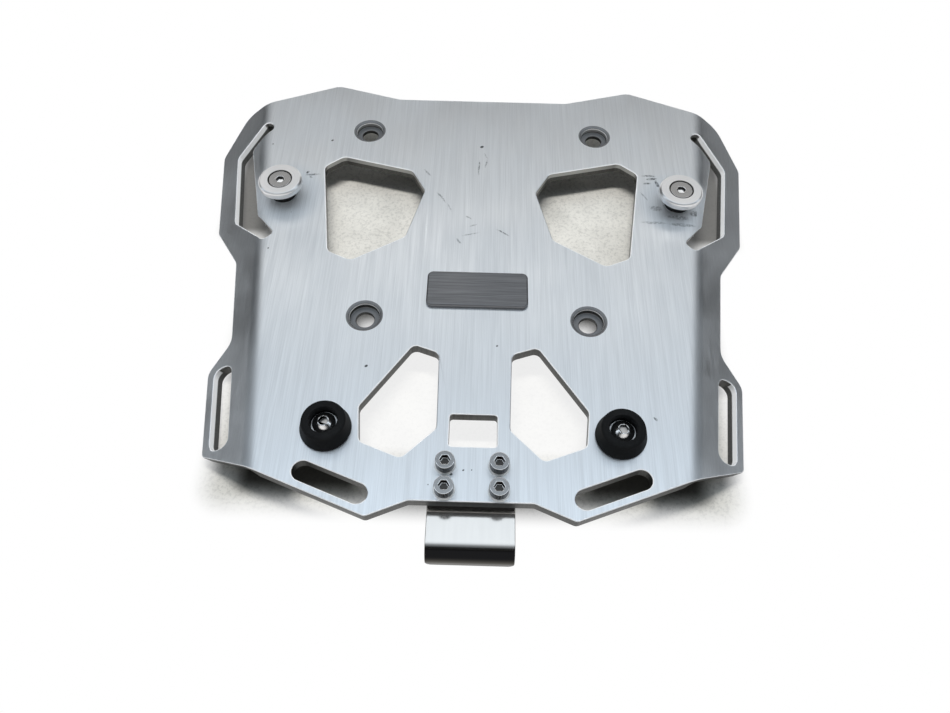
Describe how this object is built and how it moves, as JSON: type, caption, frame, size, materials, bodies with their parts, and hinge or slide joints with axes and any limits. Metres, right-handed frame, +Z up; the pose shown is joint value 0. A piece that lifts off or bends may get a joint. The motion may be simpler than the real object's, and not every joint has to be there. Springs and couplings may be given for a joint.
{
  "type": "top box mount",
  "caption": "Folded aluminium top box carrier plate with bent-down grip ears, slots, locating pucks, rubber bumpers and a rear latch hook.",
  "frame": {"origin": "centre of the rack bolt pattern, on the underside of the plate", "axes": "+Z up out of the plate's upper face, +Y towards the front of the vehicle, +X to the right"},
  "size_m": [0.3042, 0.2839, 0.0324],
  "materials": {
    "brushed_plate": "satin, brushed front to rear",
    "dark_badge": "dark anodised, brushed across",
    "polished_hook": "polished",
    "black_spacer": "matte",
    "bright_puck": "turned",
    "black_bush": "matte",
    "bumper_rubber": "matte",
    "stainless_screw": "satin",
    "stainless_washer": "satin",
    "zinc_nut": "satin"
  },
  "bodies": {
    "root": {"rack_plate": "brushed_plate", "badge_plate": "dark_badge", "latch_hook": "polished_hook", "hook_spacer": "black_spacer", "left_puck": "bright_puck", "right_puck": "bright_puck", "left_puck_bush": "black_bush", "right_puck_bush": "black_bush", "left_bumper": "bumper_rubber", "right_bumper": "bumper_rubber", "hook_screws": "stainless_screw", "puck_screws": "stainless_screw", "bumper_screws": "stainless_screw", "hook_washers": "stainless_washer", "puck_washers": "stainless_washer", "bumper_washers": "stainless_washer", "bumper_under_washers": "stainless_washer", "hook_lock_nuts": "zinc_nut", "puck_lock_nuts": "zinc_nut", "bumper_lock_nuts": "zinc_nut"}
  },
  "joints": []
}
